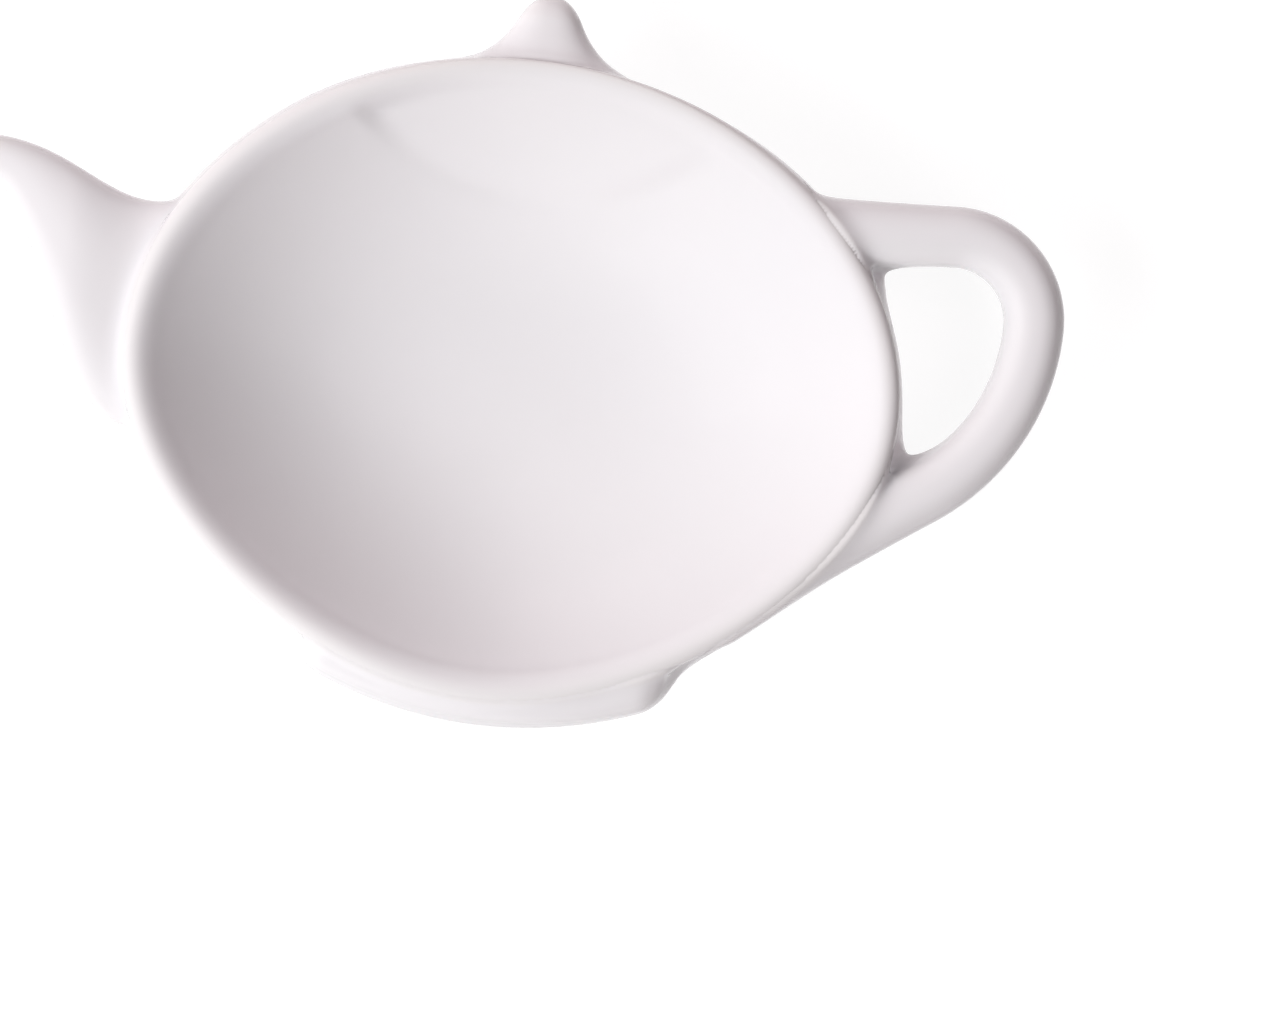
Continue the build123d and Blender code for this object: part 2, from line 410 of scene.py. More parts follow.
def turned_mesh(name, points, values):
    """Plain mesh that the turning tree makes from a profile."""
    tree = oval_turning_tree()
    line = polyline_object(name + "_line", points)
    carrier = bpy.data.objects.new(name, bpy.data.meshes.new(name))
    bpy.context.scene.collection.objects.link(line)
    bpy.context.scene.collection.objects.link(carrier)
    modifier = carrier.modifiers.new("oval_turning", "NODES")
    modifier.node_group = tree
    values = dict(values, profile=line)
    for item in tree.interface.items_tree:
        if item.in_out == "INPUT" and item.name in values:
            modifier[item.identifier] = values[item.name]
    evaluated = carrier.evaluated_get(bpy.context.evaluated_depsgraph_get())
    mesh = bpy.data.meshes.new_from_object(evaluated)
    mesh.name = name
    bpy.data.objects.remove(carrier)
    bpy.data.objects.remove(line)
    return mesh


def grid_numbers(counts):
    """Numbers of all the points of a grid, one row for each."""
    return np.stack(np.meshgrid(*[np.arange(count) for count in counts], indexing="ij"), -1).reshape(-1, len(counts))


def grown_by(points, dish):
    """How far the rim's oval has to grow to pass through each point, seen from above."""
    x = points[:, 0]
    y = points[:, 1]
    taper = np.where(y < 0.0, dish.base_taper, dish.lid_taper)
    most_square = 2.0
    least_slope = -4.0
    least_grown = -0.7 * dish.rim_half_depth
    nudge = 1e-6
    passes = 6

    def miss(grown):
        square = np.minimum((y / (dish.rim_half_depth + grown)) ** 2, most_square)
        return np.sqrt((x / ((dish.rim_half_width + grown) * (1.0 - taper * square))) ** 2 + square) - 1.0

    grown = dish.rim_half_depth * miss(np.zeros(len(points)))
    for _ in range(passes):
        here = miss(grown)
        slope = (miss(grown + nudge) - here) / nudge
        grown = np.maximum(grown - here / np.minimum(slope, least_slope), least_grown)
    return grown


class DishWall:
    """Distance from the dish's rim and outer wall, positive outside, read from tables over growth and height, one for
    each of some levels of slimming."""
    low = np.array([-0.010, -0.003])
    counts = (290, 240)
    step = 0.00012
    levels = 4
    line_start = -0.018

    def __init__(self, dish):
        line, crest = dish_profile(dish)
        growth = line[:, 0] - dish.rim_half_width
        past = np.maximum(growth - growth[crest], 0.0)
        near = np.flatnonzero(growth > self.line_start)
        self.dish = dish
        self.crest = growth[crest]
        flat = self.low + self.step * grid_numbers(self.counts)
        tables = []
        for level in range(self.levels):
            lost = dish.slim * level / (self.levels - 1) * past**2 / (past + SLIM_START)
            wall = np.column_stack([growth - lost, line[:, 2]])[near[0]:near[-1] + 1]
            tables.append(self.measure(flat, wall).reshape(self.counts))
        self.tables = np.array(tables)

    @staticmethod
    def measure(flat, wall):
        """Signed distance from the wall's line, by its nearest stretch."""
        best = np.full(len(flat), np.inf)
        signed = np.zeros(len(flat))
        for start, end in zip(wall[:-1], wall[1:]):
            run = end - start
            size = run @ run
            if size < TINY_SQUARE:
                continue
            offset = flat - start
            part = np.clip(offset @ run / size, 0.0, 1.0)
            gap = np.linalg.norm(offset - part[:, None] * run, axis=1)
            side = np.sign(run[0] * offset[:, 1] - run[1] * offset[:, 0])
            nearer = gap < best - TINY_GAP
            best = np.where(nearer, gap, best)
            signed = np.where(nearer, gap * side, signed)
        return signed

    def lid_side(self, points, grown):
        """One where the wall is slimmest, nothing where it is full."""
        turn = np.arcsin(np.clip(points[:, 1] / (self.dish.rim_half_depth + grown), -1.0, 1.0))
        turn = np.where(points[:, 0] < 0.0, np.pi - turn, turn)
        return 1.0 - ease(np.abs(turn - self.dish.slim_turn) / self.dish.slim_spread)

    def __call__(self, points, grown):
        flat = (np.column_stack([grown, points[:, 2]]) - self.low) / self.step
        place = np.column_stack([self.lid_side(points, grown) * (self.levels - 1), flat])
        just_inside = np.array(self.tables.shape) - 1.001
        place = np.clip(place, 0.0, just_inside)
        cell = place.astype(int)
        part = place - cell
        total = np.zeros(len(points))
        for corner in np.ndindex(2, 2, 2):
            weight = np.prod(np.where(corner, part, 1.0 - part), axis=1)
            total += weight * self.tables[tuple((cell + corner).T)]
        return total


def gradient(field, points, step=0.00012):
    """Direction in which a field grows, by differences."""
    out = np.empty_like(points)
    for axis in range(3):
        shift = np.zeros(3)
        shift[axis] = step
        out[:, axis] = (field(points + shift) - field(points - shift)) / (2 * step)
    return out


def as_distance(level):
    """Turn a level function that is zero on a form's skin into a distance near it."""
    least_slope = 20.0

    def field(points):
        slope = np.linalg.norm(gradient(level, points), axis=1)
        return level(points) / np.maximum(slope, least_slope)
    return field


def smooth_union(first, second, reach):
    """Smaller of two distances, rounded where they are closer to each other than the reach."""
    part = np.maximum(reach - np.abs(first - second), 0.0) / reach
    return np.minimum(first, second) - reach * part**3 / 6.0


def near_skin(field, low, high, step):
    """Field on a grid of points, worked out in full only in the blocks that the skin may cross."""
    side = 4
    margin = 2.2
    blocks = np.ceil((high - low) / (side * step)).astype(int)
    numbers = grid_numbers(blocks)
    rough = field(low + step * (side * numbers + (side - 1) / 2))
    close = np.abs(rough) < margin * step * side * math.sqrt(3.0) / 2
    level = np.sign(rough).reshape(blocks)
    for axis in range(3):
        level = np.repeat(level, side, axis=axis)
    fine = (side * numbers[close][:, None, :] + grid_numbers([side] * 3)).reshape(-1, 3)
    level[tuple(fine.T)] = field(low + step * fine)
    return level


def crossed_cells(level, low, step):
    """One point for each grid cell that the skin crosses, the mean of its crossings, and each cell's number."""
    cells = np.array(level.shape) - 1
    inside = level < 0
    corners = [inside[tuple(slice(c, c + n) for c, n in zip(corner, cells))] for corner in np.ndindex(2, 2, 2)]
    found = np.any(corners, axis=0) & ~np.all(corners, axis=0)
    base = np.argwhere(found)
    total = np.zeros((len(base), 3))
    hits = np.zeros(len(base))
    for axis in range(3):
        for first, second in np.ndindex(2, 2):
            start = np.zeros(3, int)
            start[(axis + 1) % 3] = first
            start[(axis + 2) % 3] = second
            end = start.copy()
            end[axis] = 1
            here = level[tuple((base + start).T)]
            there = level[tuple((base + end).T)]
            cross = (here < 0) != (there < 0)
            part = here / np.where(cross, here - there, 1.0)
            point = (base + start).astype(float)
            point[:, axis] += part
            total += np.where(cross[:, None], point, 0.0)
            hits += cross
    number = np.full(cells, -1)
    number[found] = np.arange(len(base))
    return low + step * total / hits[:, None], number


def crossed_faces(level, number):
    """Quads round each grid edge that the skin crosses, facing from inside to outside."""
    faces = []
    for axis in range(3):
        b = (axis + 1) % 3
        c = (axis + 2) % 3
        inner = [slice(None)] * 3
        inner[b] = slice(1, -1)
        inner[c] = slice(1, -1)
        inside = level[tuple(inner)] < 0
        ahead = np.moveaxis(inside, axis, 0)
        cross = np.moveaxis(ahead[:-1] != ahead[1:], 0, axis)
        leaves = np.moveaxis(ahead[:-1] & ~ahead[1:], 0, axis)
        places = np.argwhere(cross)
        places[:, b] += 1
        places[:, c] += 1
        corners = []
        for shift_b, shift_c in ((-1, -1), (0, -1), (0, 0), (-1, 0)):
            cell = places.copy()
            cell[:, b] += shift_b
            cell[:, c] += shift_c
            corners.append(number[tuple(cell.T)])
        quad = np.column_stack(corners)
        out = leaves[cross]
        faces.append(np.where(out[:, None], quad, quad[:, ::-1]))
    return np.vstack(faces)


def folded_corners(points, faces, normals):
    """Numbers of the points on faces that look away from the normals at their corners."""
    corners = points[faces]
    facing = normals[faces].mean(axis=1)
    wrong = np.zeros(len(faces), bool)
    for second, third in ((1, 2), (2, 3)):
        side = np.cross(corners[:, second] - corners[:, 0], corners[:, third] - corners[:, 0])
        wrong |= (side * facing).sum(axis=1) < 0.0
    return np.unique(faces[wrong])


# How the skins of the arms end: how deep inside the dish, how little they may lift its skin where they leave it, how
# deep a folded border is tucked in and how far from the dish such a border may lie.
END_DEPTH = 0.0004
END_LIFT = 0.000008
TUCK_DEPTH = 0.00015
TUCK_REACH = 0.0006


def joined_mesh(name, form, wall, reach, low, high, step):
    """Closed mesh of a form that runs softly into the dish's wall and ends just inside it, short of the crest."""
    least_slope = 0.05
    least_normal = 1e-9
    skin_depth = 1.6 * step
    passes = 3

    def measures(points):
        grown = grown_by(points, wall.dish)
        return form(points), wall(points, grown), reach(points, grown), grown

    def wall_gap(points):
        return wall(points, grown_by(points, wall.dish))

    def skin(points):
        return smooth_union(*measures(points)[:3])

    def fields(points):
        own, dish, soft, grown = measures(points)
        thin = np.cbrt(6.0 * END_LIFT / soft)
        limits = (-dish - END_DEPTH, own - dish - soft * (1.0 - thin), wall.crest - grown)
        return smooth_union(own, dish, soft), np.max(limits, axis=0)

    def whole(points):
        return np.maximum(*fields(points))

    low = np.asarray(low, float)
    level = near_skin(whole, low, np.asarray(high), step)
    points, number = crossed_cells(level, low, step)
    faces = crossed_faces(level, number)

    # Move the points of the outer skin onto it.
    top, under = fields(points)
    shown = top > under
    for _ in range(passes):
        slope = gradient(skin, points)
        move = skin(points) / np.maximum((slope**2).sum(axis=1), least_slope)
        move = np.where(shown, np.clip(move, -0.5 * step, 0.5 * step), 0.0)
        points = points - move[:, None] * slope

    # The skin's normals turn to those of the dish where it leaves it.
    own, dish, soft, _ = measures(points)
    raised = np.minimum(own, dish) - smooth_union(own, dish, soft)
    joined = np.where(own < dish, 1.0, ease((raised - END_LIFT) / (4.0 * END_LIFT)))[:, None]
    normals = joined * gradient(skin, points) + (1.0 - joined) * gradient(wall_gap, points)
    near = skin(points) > -skin_depth
    normals = np.where(near[:, None], normals, gradient(whole, points))
    normals /= np.maximum(np.linalg.norm(normals, axis=1), least_normal)[:, None]

    # Tuck the folded borders in under the dish's skin.
    loose = folded_corners(points, faces, normals)
    gap = wall_gap(points[loose])
    loose = loose[(gap > -TUCK_DEPTH) & (gap < TUCK_REACH)]
    way = gradient(wall_gap, points[loose])
    points[loose] -= (wall_gap(points[loose]) + TUCK_DEPTH)[:, None] * way
    normals[loose] = way
    mesh = bpy.data.meshes.new(name)
    mesh.from_pydata(points.tolist(), [], faces.tolist())
    mesh.polygons.foreach_set("use_smooth", np.ones(len(mesh.polygons), bool))
    mesh.normals_split_custom_set_from_vertices(normals.tolist())
    return mesh


# Looks of the clay: the scales of its textures and the parts of their ranges that are used, the tints and the relief.
CLAY_SCALES = ("Drift Scale", "Grain Scale", "Pit Scale")
GLAZED_SCALES = (26.0, 240.0, 150.0)
BARE_SCALES = (90.0, 2600.0, 1500.0)
NOISE_RANGE = (0.3, 0.7)
PIT_RANGE = (0.04, 0.12)
# The tone in hollows is darkened partly for glaze that gathers there and partly as painted shade in creases.
POOLED_AND_SHADED_RANGE = (0.56, 0.95)
THIN_RANGE = (0.40, 0.0)
DRIFT_TINTS = ((0.985, 0.988, 0.994), (1.0, 1.0, 1.0))
DRIFT_ROUGHNESS = 0.05
DRIFT_RELIEF = 6.0
GRAIN_RELIEF = 0.35
GLAZE_IOR = 1.5
BARE_SHADE = 0.86
BARE_DRIFT = (0.0, 0.6)
BARE_ROUGHNESS = (0.72, 0.9)


def read_rows(items, name, width, kind=float):
    """Values of a mesh's items, one row for each."""
    values = np.empty(len(items) * width, kind)
    items.foreach_get(name, values)
    return values.reshape(-1, width)


def mark_hollows(mesh):
    """Store how hollow each spot of the skin is as an attribute: the glaze gathers in hollows, which also get painted
    shade, and runs thin on edges.
    """
    most_bend = 600.0
    full_bend = 500.0
    passes = 12
    spots = read_rows(mesh.vertices, "co", 3)
    normals = read_rows(mesh.vertex_normals, "vector", 3)
    first, second = read_rows(mesh.edges, "vertices", 2, int).T
    run = spots[second] - spots[first]
    size = np.maximum((run**2).sum(axis=1), TINY_SQUARE)
    bend = np.zeros(len(spots))
    links = np.zeros(len(spots))
    np.add.at(bend, first, (run * normals[first]).sum(axis=1) / size)
    np.add.at(bend, second, -(run * normals[second]).sum(axis=1) / size)
    np.add.at(links, first, 1.0)
    np.add.at(links, second, 1.0)
    links = np.maximum(links, 1.0)
    bend = np.clip(bend / links, -most_bend, most_bend)
    for _ in range(passes):
        total = np.zeros(len(spots))
        np.add.at(total, first, bend[second])
        np.add.at(total, second, bend[first])
        bend = 0.5 * bend + 0.5 * total / links
    depth = mesh.attributes.new("hollowness", "FLOAT", "POINT")
    depth.data.foreach_set("value", np.clip(0.5 + bend / full_bend, 0.0, 1.0).astype(np.float32))


def fired_clay_group():
    """Node group with the slow tone drift and the fine grain that fired clay has under and without its glaze."""
    group = bpy.data.node_groups.get("fired_clay")
    if group:
        return group
    group = bpy.data.node_groups.new("fired_clay", "ShaderNodeTree")
    face = group.interface
    for name in CLAY_SCALES:
        face.new_socket(name, in_out="INPUT", socket_type="NodeSocketFloat")
    for name in ("Drift", "Grain", "Pits"):
        face.new_socket(name, in_out="OUTPUT", socket_type="NodeSocketFloat")
    given = add(group, "NodeGroupInput").outputs
    spot = add(group, "ShaderNodeTexCoord").outputs["Object"]
    drift, grain, pits = [{"Vector": spot, "Scale": given[name]} for name in CLAY_SCALES]
    drift = fed(group, "ShaderNodeTexNoise", {**drift, "Detail": 3.0})
    grain = fed(group, "ShaderNodeTexNoise", {**grain, "Detail": 4.0})
    pits = fed(group, "ShaderNodeTexVoronoi", pits, feature="F1").outputs["Distance"]
    pits = ranged(group, pits, *PIT_RANGE, kind=SMOOTH)
    fed(group, "NodeGroupOutput", {"Drift": drift.outputs[0], "Grain": grain.outputs[0], "Pits": pits})
    return group


def clay_material(name, scales):
    """New material with its tree, the inputs of its surface and the outputs of the clay's node group."""
    material = bpy.data.materials.new(name)
    material.use_nodes = True
    tree = material.node_tree
    clay = fed(tree, "ShaderNodeGroup", dict(zip(CLAY_SCALES, scales)), node_tree=fired_clay_group())
    return material, tree, tree.nodes["Principled BSDF"].inputs, clay.outputs


def bump(tree, height, strength, distance):
    """Normal of a surface with a fine relief."""
    inputs = {"Height": height, "Strength": strength, "Distance": distance}
    return fed(tree, "ShaderNodeBump", inputs).outputs[0]


def mixed(tree, amount, first, second, blend="MIX"):
    """Colour mix of two sockets or colours."""
    node = add(tree, "ShaderNodeMix", data_type="RGBA", blend_type=blend)
    plug(tree, amount, node.inputs["Factor"])
    for value, socket in ((first, node.inputs[6]), (second, node.inputs[7])):
        plug(tree, value if isinstance(value, bpy.types.NodeSocket) else (*value, 1.0), socket)
    return node.outputs[2]


def glazed_porcelain():
    """White porcelain under a clear glossy glaze that gathers in hollows, darkened there by painted shade too, and
    thins on edges.
    """
    material = bpy.data.materials.get("glazed_porcelain_skin")
    if material:
        return material
    glaze = bpy.context.scene.tea_rest_glaze
    material, tree, surface, clay = clay_material("glazed_porcelain_skin", GLAZED_SCALES)
    depth = add(tree, "ShaderNodeAttribute", attribute_name="hollowness").outputs["Fac"]
    # Darker, cooler tone in hollows: partly glaze that gathers there, partly painted shade in the creases.
    pooled = mixed(tree, ranged(tree, depth, *POOLED_AND_SHADED_RANGE), tuple(glaze.body), tuple(glaze.pooled))
    edged = mixed(tree, ranged(tree, depth, *THIN_RANGE), pooled, tuple(glaze.thin))
    drifted = mixed(tree, ranged(tree, clay["Drift"], *NOISE_RANGE), *DRIFT_TINTS)
    plug(tree, mixed(tree, 1.0, edged, drifted, "MULTIPLY"), surface["Base Color"])
    rough = ranged(tree, clay["Drift"], *NOISE_RANGE, glaze.roughness, glaze.roughness + DRIFT_ROUGHNESS)
    plug(tree, rough, surface["Roughness"])
    plug(tree, GLAZE_IOR, surface["IOR"])
    height = maths(tree, "ADD", maths(tree, "MULTIPLY", clay["Drift"], DRIFT_RELIEF),
                   maths(tree, "MULTIPLY", clay["Grain"], GRAIN_RELIEF))
    plug(tree, bump(tree, height, strength=0.35, distance=0.00004), surface["Normal"])
    return material


def bare_porcelain():
    """Unglazed fired clay with a fine sandy grain."""
    material = bpy.data.materials.get("bare_porcelain_skin")
    if material:
        return material
    material, tree, surface, clay = clay_material("bare_porcelain_skin", BARE_SCALES)
    biscuit = tuple(bpy.context.scene.tea_rest_glaze.biscuit)
    darker = tuple(BARE_SHADE * part for part in biscuit)
    toned = mixed(tree, ranged(tree, clay["Drift"], *NOISE_RANGE, *BARE_DRIFT), biscuit, darker)
    plug(tree, mixed(tree, clay["Pits"], darker, toned), surface["Base Color"])
    plug(tree, ranged(tree, clay["Grain"], *NOISE_RANGE, *BARE_ROUGHNESS), surface["Roughness"])
    plug(tree, bump(tree, clay["Grain"], strength=0.5, distance=0.00005), surface["Normal"])
    return material


def place_piece(name, mesh, node, slot, material):
    """Put a finished piece in the scene in place of its solid."""
    piece = bpy.data.objects.new(name, mesh)
    bpy.context.scene.collection.objects.link(piece)
    mesh.materials.clear()
    mesh.materials.append(material)
    if slot == "glazed_porcelain":
        mark_hollows(mesh)
    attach(piece, "root")
    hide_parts(node)


# Walls that are worked out already, by the sizes of their dish.
WALLS = {}


def wall_of_dish():
    """Distance field of the dish's wall for the present sizes, made once for the pieces that join it."""
    dish = bpy.context.scene.tea_rest_dish
    sizes = tuple(getattr(dish, name) for name in TeaRestDish.__annotations__)
    if sizes not in WALLS:
        WALLS[sizes] = DishWall(dish)
    return WALLS[sizes]


# Reach of the rounding at the rim's crest and of the grooves beside it, where a groove begins and over which run, and
# how far under the rim's height the joint's own rounding begins and over which drop.
CREST_REACH = 0.0004
GROOVE = 0.0024
HANDLE_GROOVE = 0.0036
HOLE_GROOVE = 0.0055
LEDGE_END_GROOVE = 0.0042
GROOVE_START = 0.0005
GROOVE_RUN = 0.0014
JOINT_DROP = 0.0024
JOINT_RUN = 0.003


def soft_reach(blend, dish, groove=GROOVE):
    """Reach of a joint's rounding, which near the top changes to that of the groove beside the rim's crest."""
    def reach(points, grown):
        beside = between(CREST_REACH, groove, ease((grown - GROOVE_START) / GROOVE_RUN))
        return beside + (blend - groove) * ease((dish.rim_height - JOINT_DROP - points[:, 2]) / JOINT_RUN)
    return reach


def changing_reach(first, second, part):
    """Reach that changes from one to another by a part that each point has."""
    def reach(points, grown):
        here = part(points)
        return first(points, grown) * (1.0 - here) + second(points, grown) * here
    return reach


def loop_reach(handle, dish):
    """Reach of the rounding at the handle's roots, wider inside the loop."""
    drop = 0.014
    hole_radius = 0.016
    hole_edge = 0.006
    middle = np.array([dish.rim_half_width + handle.straight, dish.rim_half_depth - handle.top_drop - drop])

    def in_hole(points):
        return ease((hole_radius - np.linalg.norm(points[:, :2] - middle, axis=1)) / hole_edge)
    return changing_reach(soft_reach(handle.blend, dish, HANDLE_GROOVE),
                          soft_reach(handle.hole_blend, dish, HOLE_GROOVE), in_hole)


def ledge_reach(ledge, dish):
    """Reach of the rounding along the ledge, with a wider groove at its right end."""
    def at_end(points):
        return ease((points[:, 0] - ledge.right + ledge.width) / ledge.width)
    return changing_reach(soft_reach(ledge.blend, dish), soft_reach(ledge.blend, dish, LEDGE_END_GROOVE), at_end)


def across(side, over, squareness):
    """How far out a point lies in a section between an oval and a box, one on its outline."""
    return (np.abs(side) ** squareness + np.abs(over) ** squareness) ** (1.0 / squareness)


def rounded_arm(arm, run, side, over):
    """Level of an arm with a rounded end, from a point's run along it and its place across it."""
    end = np.maximum(run - (arm.run - arm.tip_round), 0.0) / arm.tip_round
    return np.hypot(across(side, over, arm.squareness), end) - 1.0


def spout_form(spout, dish):
    """Spout that narrows and rises from its root to its tip, with a rounded end."""
    rise_power = 1.2
    width_power = 1.5
    height_power = 2

    def level(points):
        run = -points[:, 0] - dish.rim_half_width
        part = (1.0 - np.cos(np.pi * np.clip(run / spout.taper_run, 0.0, 1.0))) / 2
        rise = between(spout.root_rise, spout.tip_rise, part**rise_power)
        width = between(spout.root_width, spout.tip_width, part**width_power)
        height = between(spout.root_height, spout.tip_height, part**height_power)
        middle = ARM_HEIGHT - spout.dip + (spout.dip + spout.swell) * ease(run / spout.swell_run)
        side = (points[:, 1] - rise) / (width / 2)
        over = (points[:, 2] - middle) / (height / 2)
        return rounded_arm(spout, run, side, over)
    return as_distance(level)


def knob_form(knob):
    """Knob with flared sides and a rounded end."""
    start = KNOB_HIGH[1] - knob.run
    flare_power = 2

    def level(points):
        run = points[:, 1] - start
        flare = (1.0 - np.clip(run / knob.run, 0.0, 1.0)) ** flare_power
        width = between(knob.tip_width, knob.root_width, flare)
        height = between(knob.tip_height, knob.root_height, flare)
        side = points[:, 0] / (width / 2)
        over = (points[:, 2] - ARM_HEIGHT) / (height / 2)
        return rounded_arm(knob, run, side, over)
    return as_distance(level)


def run_gap(points, start, end):
    """Distance from a straight run seen from above, and how far along it the nearest point lies."""
    way = end - start
    size = np.linalg.norm(way)
    offset = points[:, :2] - start
    along = np.clip(offset @ way / size, 0.0, size)
    return np.linalg.norm(offset - along[:, None] * way / size, axis=1), along


def bend_gap(points, middle, radius, first, turn):
    """Distance from a bend that turns right, seen from above, and how far along it the nearest point lies."""
    offset = points[:, :2] - middle
    angle = (first - np.arctan2(offset[:, 1], offset[:, 0])) % (2 * np.pi)
    angle = np.where(angle > turn / 2 + np.pi, angle - 2 * np.pi, angle)
    part = np.clip(angle, 0.0, turn)
    nearest = middle + radius * np.column_stack([np.cos(first - part), np.sin(first - part)])
    return np.linalg.norm(points[:, :2] - nearest, axis=1), part * radius


def handle_form(handle, dish):
    """Loop of oval bar along two straight runs and two bends, a little thicker at its roots."""
    bend_start = dish.rim_half_width + handle.straight
    top_line = dish.rim_half_depth - handle.top_drop
    upper = np.array([bend_start, top_line - handle.upper_radius])
    lower = np.array([bend_start + handle.upper_radius - handle.lower_radius, upper[1]])
    turn = handle.lower_turn
    heading = np.array([-np.sin(turn), -np.cos(turn)])
    end = lower + handle.lower_radius * np.array([np.cos(turn), -np.sin(turn)])
    bend = np.pi / 2 + handle.lean
    top_end = upper + handle.upper_radius * np.array([np.cos(bend), np.sin(bend)])
    top_start = top_end - handle.root_run * np.array([np.sin(bend), -np.cos(bend)])
    first = handle.root_run
    second = first + handle.upper_radius * bend
    third = second + handle.lower_radius * turn
    whole = third + handle.root_run
    flare_power = 4

    def level(points):
        parts = [
            (*run_gap(points, top_start, top_end), 0.0),
            (*bend_gap(points, upper, handle.upper_radius, bend, bend), first),
            (*bend_gap(points, lower, handle.lower_radius, 0.0, turn), second),
            (*run_gap(points, end, end + handle.root_run * heading), third),
        ]
        gap = np.full(len(points), np.inf)
        along = np.zeros(len(points))
        for distance, run, offset in parts:
            nearer = distance < gap
            gap = np.where(nearer, distance, gap)
            along = np.where(nearer, offset + run, along)
        flare = (2.0 * along / whole - 1.0) ** flare_power
        width = between(handle.bar_width, handle.root_width, flare)
        height = between(handle.bar_height, handle.root_height, flare)
        over = (points[:, 2] - ARM_HEIGHT - handle.lift) / (height / 2)
        return across(gap / (width / 2), over, handle.squareness) - 1.0
    return as_distance(level)


def ledge_form(ledge, dish):
    """Rounded bar along the lower wall of the dish, following an arc."""
    radius = ledge.radius - ledge.width / 2
    right_turn = math.asin((ledge.right - ledge.shift - ledge.width / 2) / radius)
    left_turn = math.asin((ledge.left + ledge.shift - ledge.width / 2) / radius)
    middle = np.array([ledge.shift, ledge.radius - dish.rim_half_depth - ledge.out])

    def level(points):
        gap, _ = bend_gap(points, middle, radius, right_turn - np.pi / 2, right_turn + left_turn)
        over = (points[:, 2] - ARM_HEIGHT) / (ledge.height / 2)
        return across(gap / (ledge.width / 2), over, ledge.squareness) - 1.0
    return as_distance(level)


def joined_piece(node, form, reach, margin):
    """Glazed piece that runs softly into the dish, with a margin round its solid's box for the joint."""
    step = 0.0003
    more_below = 0.004
    more_above = 0.0005
    low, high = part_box(node)
    low = [part - margin for part in low]
    high = [part + margin for part in high]
    low[2] -= more_below
    high[2] = bpy.context.scene.tea_rest_dish.rim_height + more_above
    name = "glazed_" + node
    mesh = joined_mesh(name, form, wall_of_dish(), reach, low, high, step)
    place_piece(name, mesh, node, "glazed_porcelain", glazed_porcelain())


class TEAREST_OT_dish(Operator):
    """Make the glazed dish with its bowl, rim and lid"""
    bl_idname = "tea_rest.dish"
    bl_label = "Dish"

    def execute(self, context):
        dish = context.scene.tea_rest_dish
        line, crest = dish_profile(dish)
        material = glazed_porcelain()
        values = {name: getattr(dish, name) for name in TREE_SIZES}
        mesh = turned_mesh("glazed_dish", line, {
            **values, "turns": dish.turns, "bowl_points": float(crest), "crest_half_width": line[crest, 0],
            "lid_rise": math.tan(dish.lid_slope),
            "lid_middle": dish.rim_half_depth - dish.lid_reach + dish.lid_radius, "material": material,
        })
        place_piece("glazed_dish", mesh, "dish", "glazed_porcelain", material)
        return {"FINISHED"}


class TEAREST_OT_spout(Operator):
    """Make the glazed spout and its soft joint with the dish"""
    bl_idname = "tea_rest.spout"
    bl_label = "Spout"

    def execute(self, context):
        spout = context.scene.tea_rest_spout
        dish = context.scene.tea_rest_dish
        joined_piece("spout", spout_form(spout, dish), soft_reach(spout.blend, dish), margin=0.007)
        return {"FINISHED"}


class TEAREST_OT_knob(Operator):
    """Make the glazed lid knob and its soft joint with the dish"""
    bl_idname = "tea_rest.knob"
    bl_label = "Knob"

    def execute(self, context):
        knob = context.scene.tea_rest_knob
        dish = context.scene.tea_rest_dish
        joined_piece("knob", knob_form(knob), soft_reach(knob.blend, dish), margin=0.007)
        return {"FINISHED"}


class TEAREST_OT_handle(Operator):
    """Make the glazed loop handle and its soft joints with the dish"""
    bl_idname = "tea_rest.handle"
    bl_label = "Handle"

    def execute(self, context):
        handle = context.scene.tea_rest_handle
        dish = context.scene.tea_rest_dish
        joined_piece("handle", handle_form(handle, dish), loop_reach(handle, dish), margin=0.009)
        return {"FINISHED"}


class TEAREST_OT_ledge(Operator):
    """Make the glazed base ledge and its soft joint with the dish"""
    bl_idname = "tea_rest.base_ledge"
    bl_label = "Base ledge"

    def execute(self, context):
        ledge = context.scene.tea_rest_ledge
        dish = context.scene.tea_rest_dish
        joined_piece("base_ledge", ledge_form(ledge, dish), ledge_reach(ledge, dish), margin=0.011)
        return {"FINISHED"}


class TEAREST_OT_ring(Operator):
    """Make the bare foot ring"""
    bl_idname = "tea_rest.foot_ring"
    bl_label = "Foot ring"

    def execute(self, context):
        ring = context.scene.tea_rest_ring
        dish = context.scene.tea_rest_dish
        top = dish.foot_height
        corner = ring.edge_round
        round_points = 7
        turns = [(math.cos(part), math.sin(part)) for part in np.linspace(0.0, math.pi / 2, round_points)[1:]]
        section = [(-ring.width, top), (0.0, top), (0.0, corner)]
        section += [(-corner + corner * cosine, corner - corner * sine) for cosine, sine in turns]
        section.append((-ring.width + corner, 0.0))
        section += [(-ring.width + corner - corner * sine, corner - corner * cosine) for cosine, sine in turns]
        section.append((-ring.width, top))
        line = [(ring.half_width + out, ring.half_depth + out, height) for out, height in section]
        material = bare_porcelain()
        mesh = turned_mesh("bare_foot_ring", line, {
            "turns": dish.turns // 2, "lid_taper": dish.lid_taper, "base_taper": dish.base_taper, "bowl_points": 0.0,
            "lid_softness": 1.0, "crest_half_width": 1.0, "slim_spread": 1.0, "material": material,
        })
        place_piece("bare_foot_ring", mesh, "foot_ring", "bare_porcelain", material)
        return {"FINISHED"}


# Lights that the walls send back: the share of their power, and the direction and height in degrees.
FILLS = (("far_wall", 0.58, 110.0, 15.0), ("near_wall", 0.14, 270.0, 15.0), ("ceiling", 0.28, 10.0, 70.0))

